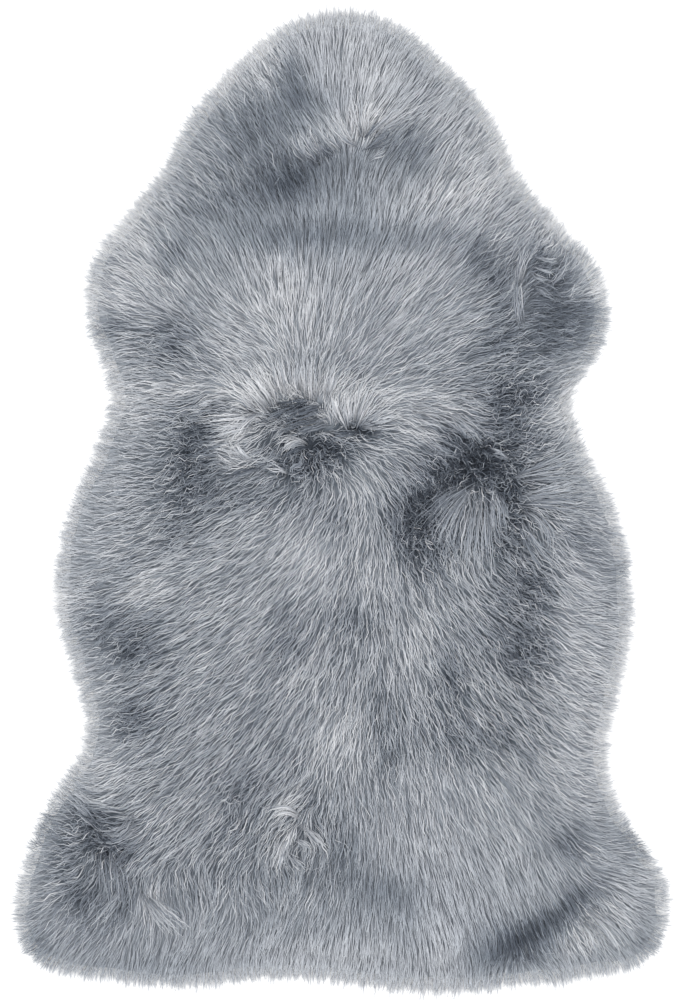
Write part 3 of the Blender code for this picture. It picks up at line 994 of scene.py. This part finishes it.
def turned(vectors, angles):
    """Flat vectors turned anticlockwise by the angles."""
    cos, sin = np.cos(angles), np.sin(angles)
    x, y = vectors[..., 0], vectors[..., 1]
    return np.stack([x * cos - y * sin, x * sin + y * cos], -1)


def paths_over(maps, roots, stray):
    """Each strand's way over the pelt: from its root it goes PATH_STEP at a time the way the wool
    lies there, turned by its own stray angle."""
    path = [roots]
    for _ in range(PATH_STEPS):
        lie = maps.read("lie", path[-1])
        lie = lie / (np.linalg.norm(lie, axis=1, keepdims=True) + 1e-9)
        path.append(path[-1] + PATH_STEP * turned(lie, stray))
    return np.stack(path, axis=1)


def along_paths(paths, distance):
    """The place on each path at its distances, one row of them a path, and the direction there."""
    at = np.clip(distance / PATH_STEP, 0, PATH_STEPS - 0.001)
    step = at.astype(int)
    share = (at - step)[..., None]
    which = np.arange(len(paths))[:, None]
    near = paths[which, step]
    far = paths[which, step + 1]
    return near * (1 - share) + far * share, (far - near) / PATH_STEP


def by_wave(pair, wavy):
    """A value that goes in a straight line from sleek wool to wavy wool."""
    return pair[0] + pair[1] * wavy


def crimp_at(maps, points):
    """How strongly the wool crimps: not at all in the pale long wool, fully in the darkest hollows."""
    low, full = CRIMP_TONES
    crimp = np.clip((low - maps.read("tone", points)[:, 0]) / (low - full), 0, 1)
    return crimp * (1 - CRIMP_SLEEK * np.maximum(maps.read("sleek", points)[:, 0], 0))


def strand_roots(maps, loop, rng):
    """Where strands are rooted, and 1 for each that is a short curled one. They stand evenly over
    the pelt, closer where the wool parts and near the rim, and curls fill the darkest hollows."""
    roots = staggered(loop, STRAND_PITCH, rng)
    more = np.vstack([staggered(loop, STRAND_PITCH, rng) for _ in range(PARTED_LAYERS)])
    need = maps.read("parted", more)[:, 0] ** PARTED_POWER * (1 - PARTED_CRIMP * crimp_at(maps, more))
    need = np.maximum(need, maps.read("depth", more)[:, 0] < RIM_BAND)
    more = more[rng.uniform(0, 1, len(more)) < need]
    curls = staggered(loop, CURL_PITCH, rng)
    curls = curls[rng.uniform(0, 1, len(curls)) < crimp_at(maps, curls)]
    roots = np.vstack([roots, more, curls])
    curled = np.repeat([0.0, 1.0], [len(roots) - len(curls), len(curls)])
    inside = maps.read("depth", roots)[:, 0] > ROOT_MARGIN
    return roots[inside], curled[inside]


def strand_lengths(maps, roots, curled, crimp, wavy, paths, rng):
    """Each strand's length, nearly that of its neighbours, shorter where the wool crimps or parts.
    One that would reach past the rim is cut, so that its tip ends within RIM_TIP of it."""
    count = len(roots)
    length = STRAND_LENGTH * (1 + LENGTH_DRIFT * drift(roots, WISP, rng))
    length = length * rng.uniform(*LENGTH_SPREAD, count)
    length = length * (1 - CRIMP_SHORTER * crimp) * by_wave(LENGTH_BY_WAVE, wavy)
    length = np.where(curled > 0, CURL_LENGTH * rng.uniform(*CURL_SPREAD, count), length)
    tip, _ = along_paths(paths, length[:, None])
    root_depth = maps.read("depth", roots)[:, 0]
    tip_depth = maps.read("depth", tip[:, 0])[:, 0]
    goal = RIM_TIP[0] + rng.uniform(0, 1, count) * (RIM_TIP[1] - RIM_TIP[0])
    share = (root_depth - goal) / np.maximum(root_depth - tip_depth, 1e-3)
    length = length * (1 - PARTED_SHORTER * maps.read("parted", roots)[:, 0])
    return np.where(tip_depth < goal, length * np.clip(share, LEAST_SHARE, 1), length)


def strand_lines(maps, loop, rng):
    """Centre lines of every strand, shape (strand, station, xyz), with their widths and tones.

    Along its length a strand swings from side to side as a sine wave and drifts aside, both nearly
    as its neighbours do, so that strands gather in soft wisps. It climbs from its root in the pile,
    with the cube of the length that is left, to lie on the wool that it covers.
    """
    roots, curled = strand_roots(maps, loop, rng)
    count = len(roots)
    crimp = crimp_at(maps, roots)
    wavy = 1 - maps.read("sleek", roots)[:, 0]
    stray = STRAY * (drift(roots, STRAY_PITCH, rng) + rng.normal(0, STRAY_OWN, count))
    stray = np.radians(stray)
    stray += np.radians(CRIMP_STRAY * crimp + CURL_STRAY * curled) * rng.normal(0, 1, count)
    paths = paths_over(maps, roots, stray)
    length = strand_lengths(maps, roots, curled, crimp, wavy, paths, rng)

    t = STATIONS_ALONG[None, :]
    distance = length[:, None] * t
    line, direction = along_paths(paths, distance)
    beside = np.stack([-direction[..., 1], direction[..., 0]], -1)
    phase = 2 * math.pi * drift(roots, PHASE_PITCH, rng) + rng.normal(0, PHASE_OWN, count)
    wave = WAVE * rng.uniform(*WAVE_SPREAD, count) * by_wave(SWING_BY_WAVE, wavy)
    wave = wave + CRIMP_WAVE * crimp * rng.uniform(*CRIMP_SPREAD, count)
    period = WAVE_LENGTH * (1 - CRIMP_PERIOD * crimp) * by_wave(PERIOD_BY_WAVE, wavy)
    swing = wave[:, None] * np.sin(2 * math.pi * distance / period[:, None] + phase[:, None])
    aside = WISP_GATHER * by_wave(GATHER_BY_WAVE, wavy) * drift(roots, WISP, rng)
    aside = aside + rng.normal(0, GATHER_OWN, count)
    line = line + beside * (swing * np.clip(WAVE_START * t, 0, 1) + aside[:, None] * t)[..., None]

    height = maps.read("height", line)[..., 0]
    shallow = PARTED_SINK * maps.read("parted", roots) * (1 - crimp[:, None])
    sink = np.minimum(ROOT_SINK * (1 - shallow), height[:, :1] * ROOT_SINK_SHARE)
    sink = sink * by_wave(SINK_BY_WAVE, wavy[:, None])
    lift = LIFT_DRIFT * drift(roots, WISP, rng) + rng.normal(0, LIFT_OWN, count)
    lift = lift * (1 + CRIMP_LIFT * crimp) * by_wave(LIFT_BY_WAVE, wavy)
    z = height - sink * (1 - t) ** 3 + lift[:, None] * np.minimum(LIFT_START * t, 1)
    line = np.concatenate([line, np.maximum(z, LEAST_HEIGHT)[..., None]], axis=2)

    full = WIDTH_LEAST + WIDTH_BY_LENGTH * length / STRAND_LENGTH + WIDTH_BY_CRIMP * crimp
    width = STRAND_WIDTH * rng.uniform(*WIDTH_SPREAD, count) * np.clip(full, *WIDTH_RANGE)
    depth = maps.read("depth", roots)[:, 0]
    width = width * np.interp(depth, (ROOT_MARGIN, RIM_BAND), (RIM_WIDTH, 1))
    own = TONE_WISP * drift(roots, WISP, rng) + rng.normal(0, TONE_OWN, count)
    own = own * (by_wave(TONE_BY_WAVE, wavy) + TONE_BY_CRIMP * crimp) - SLEEK_TONE * (1 - wavy)
    scatter = direction * rng.normal(0, TIP_SCATTER, count)[:, None, None]
    # The tone map brings the pelt's painted shade and painted light to each strand.
    tone = maps.read("tone", line[..., :2] + scatter)[..., 0] + own[:, None]
    # Painted shade on the roots of crimped wool in the darkest hollows.
    tone = tone - CRIMP_ROOT_SHADE * crimp[:, None] * (1 - t) ** 2
    return line, width, tone


def tuft_lines(maps, rng):
    """Centre lines of the locks' strands, with their widths and tones. A lock's middle line turns
    evenly by its curl, and its strands lie side by side across it, between the width at the root
    and that at the tip, each with a sine wave of its own that grows towards the tip."""
    t = np.linspace(0, 1, TUFT_STATIONS)
    lines, widths, tones = [], [], []
    for row in TUFTS:
        count = int(TUFT_STRANDS * (row.root + row.tip) / 2) + TUFT_LEAST
        across = rng.uniform(-0.5, 0.5, count)[:, None]
        start = rng.uniform(*TUFT_START, count)[:, None]
        reach = row.length * rng.uniform(*TUFT_REACH, count)[:, None]
        heading = math.radians(row.heading) + math.radians(row.curl) * (t[None] + start)
        heading = heading + np.radians(TUFT_STRAY) * rng.normal(0, 1, count)[:, None]
        step = np.diff(t, prepend=0)[None] * reach
        step[:, 0] += row.length * (start[:, 0] + TUFT_ROUND * across[:, 0] ** 2)
        x = row.x - CENTRE[0] + np.cumsum(step * np.cos(heading), axis=1)
        y = row.y - CENTRE[1] + np.cumsum(step * np.sin(heading), axis=1)
        turn = 2 * math.pi * reach * t / TUFT_WAVE_LENGTH + TUFT_PHASE * across
        swing = rng.uniform(*TUFT_SWING, count)[:, None] * np.sin(turn)
        swing = swing + rng.normal(0, TUFT_ASIDE, count)[:, None]
        aside = across * (row.root * (1 - t) + row.tip * t) + swing * t
        place = np.stack([x - aside * np.sin(heading), y + aside * np.cos(heading)], -1)
        rise = np.interp(t, *TUFT_ARCH) * TUFT_RISE + rng.normal(0, TUFT_LIFT, count)[:, None]
        z = maps.read("height", place)[..., 0] + rise
        lines.append(np.concatenate([place, z[..., None]], axis=2))
        widths.append(STRAND_WIDTH * rng.uniform(*TUFT_WIDTH, count))
        # A lock's tone: its row's tone, which is painted shadow for the darkest rows and partly painted
        # highlight for the palest, blended with the tone round it.
        own = rng.normal(0, TUFT_TONE_OWN, count)[:, None] + TUFT_TIP_TONE * (t[None] - TUFT_EVEN)
        near = maps.read("tone", place)[..., 0]
        tones.append(TUFT_TONE[0] * row.tone + TUFT_TONE[1] * near - TUFT_DARKER + own)
    return np.concatenate(lines), np.concatenate(widths), np.concatenate(tones)


def strand_mesh(lines, along, width, tone):
    """Closed strands from their centre lines: a point at the root, a ring of three corners at each
    station between, and a point at the tip. A ring stands across the strand's own direction, and
    its size is the width times FULLNESS there. Each strand's place on the UV map is a strip at its
    tone that runs from root to tip."""
    count, stations = lines.shape[:2]
    direction = np.empty_like(lines)
    direction[:, 1:-1] = lines[:, 2:] - lines[:, :-2]
    direction[:, 0] = lines[:, 1] - lines[:, 0]
    direction[:, -1] = lines[:, -1] - lines[:, -2]
    flat = np.linalg.norm(direction[..., :2], axis=2, keepdims=True) + 1e-6
    beside = np.concatenate([-direction[..., 1:2] / flat, direction[..., :1] / flat, 0 * flat], 2)
    length = np.linalg.norm(direction, axis=2, keepdims=True) + 1e-9
    above = np.cross(direction / length, beside)

    corner = np.radians(RING_CORNERS)
    fullness = np.interp(along[1:-1], *FULLNESS)
    half = (width[:, None] / 2 * fullness[None])[..., None, None]
    ring = (
        lines[:, 1:-1, None, :]
        + half * np.cos(corner)[:, None] * beside[:, 1:-1, None, :]
        + half * FLATNESS * np.sin(corner)[:, None] * above[:, 1:-1, None, :]
    )
    rings = ring.shape[1]
    points = np.concatenate([lines[:, :1], ring.reshape(count, -1, 3), lines[:, -1:]], axis=1)
    last = points.shape[1] - 1

    faces = []
    for a in range(3):
        b = (a + 1) % 3
        faces.append((0, 1 + b, 1 + a))
        for k in range(rings - 1):
            low, high = 1 + 3 * k, 4 + 3 * k
            faces.append((low + a, low + b, high + b))
            faces.append((low + a, high + b, high + a))
        end = 1 + 3 * (rings - 1)
        faces.append((end + a, end + b, last))
    faces = np.array(faces)

    # Painted shade: the lower corners of each ring sit darker on the tone strip than its ridge.
    sides = (0.0, -EDGE_SHADE, -EDGE_SHADE - STRIP)
    across = np.concatenate([[-EDGE_SHADE / 2], np.tile(sides, rings), [-EDGE_SHADE / 2]])
    station = np.concatenate([[0], np.repeat(np.arange(1, stations - 1), 3), [stations - 1]])
    level = np.clip((tone - TONE_LOW) / (TONE_HIGH - TONE_LOW), EDGE_SHADE + 2 * STRIP, 1 - STRIP)
    corners = faces.ravel()
    u = level[:, station[corners]] + across[corners][None]
    v = np.broadcast_to(along[station[corners]][None], u.shape)
    every = faces[None] + (np.arange(count) * points.shape[1])[:, None, None]
    return points.reshape(-1, 3), every.reshape(-1, 3), np.stack([u, v], -1).reshape(-1, 2)


def wool(maps, loop, material, rng):
    """The strands, shared out into bands across the pelt from the neck to the tail, and the locks."""
    lines, width, tone = strand_lines(maps, loop, rng)
    order = np.argsort(-lines[:, 0, 1], kind="stable")
    pieces = []
    for name, band in zip(BANDS, np.array_split(order, len(BANDS))):
        points, faces, uv = strand_mesh(lines[band], STATIONS_ALONG, width[band], tone[band])
        pieces.append(add_piece(name, points, faces, material, "fleece", uv))
    lines, width, tone = tuft_lines(maps, rng)
    points, faces, uv = strand_mesh(lines, np.linspace(TUFT_ALONG, 1, TUFT_STATIONS), width, tone)
    pieces.append(add_piece("wool_locks", points, faces, material, "fleece", uv))
    return pieces


# ---- materials ----
def linear(code):
    """A colour as sRGB hex, such as 8F969C, in the linear values that a shader takes."""
    parts = [int(code[i : i + 2], 16) / 255 for i in (0, 2, 4)]
    return tuple(c / 12.92 if c <= 0.04045 else ((c + 0.055) / 1.055) ** 2.4 for c in parts) + (1.0,)


def per_metre(size):
    """A pattern's scale from the size in millimetres of what repeats in it."""
    return 1 / (size * METRES)


def add_node(tree, kind, settings=(), links=()):
    """One node. Settings are pairs of a property or an input and its value, and "stops" sets a colour
    ramp's places and hex colours; links are pairs of an input and the output that feeds it."""
    node = tree.nodes.new(kind)
    for key, value in settings:
        if key == "stops":
            stops = node.color_ramp.elements
            stops.remove(stops[0])
            stops[0].position, stops[0].color = value[0][0], linear(value[0][1])
            for position, code in value[1:]:
                stops.new(position).color = linear(code)
        elif isinstance(key, int) or key in node.inputs:
            node.inputs[key].default_value = value
        else:
            setattr(node, key, value)
    for key, source in links:
        tree.links.new(source, node.inputs[key])
    return node


def new_material(name):
    """An empty material and its node tree."""
    material = bpy.data.materials.new(name)
    material.use_nodes = True
    material.node_tree.nodes.clear()
    return material, material.node_tree


def dyed_wool():
    """Long lustre wool, dyed blue grey: each strand has its own tone, which carries the pelt's painted
    shade and painted light. Along the strand it is dark in the pile and paler at its bleached tip: partly
    painted shade deep in the pile, partly the tip's own paler colour. It has the soft halo of fine fibres."""
    material, tree = new_material("dyed_long_wool")
    place = add_node(tree, "ShaderNodeUVMap", [("uv_map", "strand")])
    split = add_node(tree, "ShaderNodeSeparateXYZ", links=[("Vector", place.outputs[0])])
    # The tone scale, which carries painted shade and painted light from the tone map.
    dye_and_shade = [(0.0, "191F29"), (0.2, "414955"), (0.4, "6E7681"),
           (0.6, "9AA1AA"), (0.8, "C4C8CE"), (1.0, "EEEFF1")]
    tone = add_node(tree, "ShaderNodeValToRGB", [("stops", dye_and_shade)], [("Fac", split.outputs["X"])])
    # Painted shade along each strand: darker at the root, deep in the pile, and white at the tip; partly
    # the tip's own bleached colour.
    root_to_tip = [(0.0, "7C7C80"), (0.2, "B0B1B4"), (0.45, "E2E2E4"), (0.8, "FFFFFF")]
    shade = add_node(tree, "ShaderNodeValToRGB", [("stops", root_to_tip)], [("Fac", split.outputs["Y"])])
    mixed = add_node(tree, "ShaderNodeMix",
                     [("data_type", "RGBA"), ("blend_type", "MULTIPLY"), (MIX_SHARE, 1.0)],
                     [(MIX_FIRST, tone.outputs["Color"]), (MIX_SECOND, shade.outputs["Color"])])
    colour = mixed.outputs[MIX_RESULT]
    shader = add_node(tree, "ShaderNodeBsdfPrincipled",
                      [("Roughness", 0.62), ("IOR", 1.55), ("Sheen Weight", 0.9), ("Sheen Roughness", 0.5)],
                      [("Base Color", colour), ("Sheen Tint", colour)])
    add_node(tree, "ShaderNodeOutputMaterial", links=[("Surface", shader.outputs[0])])
    return material


def matted_wool():
    """The felted roots of the wool: dull blue grey, uneven where locks part. Its dark colour is partly the
    roots' own and partly painted shade, the shade in the gaps between the strands above it.
    """
    material, tree = new_material("matted_underwool")
    place = add_node(tree, "ShaderNodeTexCoord")
    clumps = add_node(tree, "ShaderNodeTexNoise", [("Scale", per_metre(CLUMP_SIZE)), ("Detail", 4.0)],
                      [("Vector", place.outputs["Object"])])
    tone = add_node(tree, "ShaderNodeAttribute", [("attribute_name", "tone")])
    level = add_node(tree, "ShaderNodeMath", [("operation", "MULTIPLY_ADD"), (1, 0.3)],
                     [(0, clumps.outputs["Fac"]), (2, tone.outputs["Fac"])])
    # Painted shade: dark blue grey from near black, for the shade between the strands, partly the roots'
    # own darker dye.
    dye_and_shade = [(0.3, "181E27"), (0.6, "39404A"), (0.8, "5E666F"), (1.0, "9AA1AA")]
    colour = add_node(tree, "ShaderNodeValToRGB", [("stops", dye_and_shade)], [("Fac", level.outputs[0])])
    bump = add_node(tree, "ShaderNodeBump", [("Strength", 0.6), ("Distance", 0.002)],
                    [("Height", clumps.outputs["Fac"])])
    shader = add_node(tree, "ShaderNodeBsdfPrincipled", [("Roughness", 0.9), ("Sheen Weight", 0.2)],
                      [("Base Color", colour.outputs["Color"]), ("Normal", bump.outputs["Normal"])])
    add_node(tree, "ShaderNodeOutputMaterial", links=[("Surface", shader.outputs[0])])
    return material


def tanned_suede():
    """Sheep suede: the buffed flesh side, buff coloured, with a short nap that lies in soft clouds."""
    material, tree = new_material("tanned_suede")
    place = add_node(tree, "ShaderNodeTexCoord")
    clouds = add_node(tree, "ShaderNodeTexNoise", [("Scale", per_metre(CLOUD_SIZE)), ("Detail", 3.0)],
                      [("Vector", place.outputs["Object"])])
    nap = add_node(tree, "ShaderNodeTexNoise", [("Scale", per_metre(NAP_SIZE)), ("Detail", 3.0)],
                   [("Vector", place.outputs["Object"])])
    buff = [(0.3, "B5A68F"), (0.7, "CDC0AB")]
    colour = add_node(tree, "ShaderNodeValToRGB", [("stops", buff)], [("Fac", clouds.outputs["Fac"])])
    bump = add_node(tree, "ShaderNodeBump", [("Strength", 0.4), ("Distance", 0.0006)],
                    [("Height", nap.outputs["Fac"])])
    shader = add_node(tree, "ShaderNodeBsdfPrincipled", [("Roughness", 0.92), ("Sheen Weight", 0.3)],
                      [("Base Color", colour.outputs["Color"]), ("Normal", bump.outputs["Normal"])])
    add_node(tree, "ShaderNodeOutputMaterial", links=[("Surface", shader.outputs[0])])
    return material


def floor_paint():
    """Matt white paint on the studio's floor."""
    material, tree = new_material("pale_floor")
    shader = add_node(tree, "ShaderNodeBsdfPrincipled",
                      [("Base Color", linear("FAFAFA")), ("Roughness", 0.8)])
    add_node(tree, "ShaderNodeOutputMaterial", links=[("Surface", shader.outputs[0])])
    return material


# ---- studio ----
def studio():
    """A pale floor, even light from all round with one large soft light, and the camera overhead."""
    scene = bpy.context.scene
    scene.view_settings.view_transform = "Standard"
    world = bpy.data.worlds.new("studio")
    world.use_nodes = True
    sky = world.node_tree.nodes["Background"].inputs
    sky["Color"].default_value = linear("FFFFFF")
    sky["Strength"].default_value = 1.0
    scene.world = world

    bpy.ops.mesh.primitive_plane_add(size=FLOOR_SIZE * METRES)
    floor = bpy.context.object
    floor.name = "floor"
    floor.location.z = -FLOOR_DROP * METRES
    floor.data.materials.append(floor_paint())

    soft = bpy.data.lights.new("soft_box", "AREA")
    soft.shape = "RECTANGLE"
    soft.size = soft.size_y = LAMP_SIZE * METRES
    soft.energy = LAMP_WATTS
    lamp = bpy.data.objects.new("soft_box", soft)
    lamp.location = [place * METRES for place in LAMP_PLACE]
    lamp.rotation_euler = (-lamp.location).to_track_quat("-Z", "Y").to_euler()
    scene.collection.objects.link(lamp)

    view = bpy.data.cameras.new("overhead")
    view.sensor_width = SENSOR
    view.lens = LENS
    distance = IMAGE_HEIGHT * MM_PER_PIXEL * METRES * LENS / SENSOR
    camera = bpy.data.objects.new("overhead", view)
    camera.location = (VIEW_SHIFT[0] * METRES, VIEW_SHIFT[1] * METRES, distance)
    scene.collection.objects.link(camera)
    scene.camera = camera


def make_rug():
    """Every piece of the rug: the underwool, the wool's strands and locks, and the hide."""
    rng = np.random.default_rng(SEED)
    loop = outline()
    maps = pelt_maps(loop, rng)
    grey = dyed_wool()
    under = underwool(loop, maps, matted_wool())
    strands = wool(maps, loop, grey, rng)
    skin, edge = hide_panel(loop, tanned_suede())


studio()
make_rug()
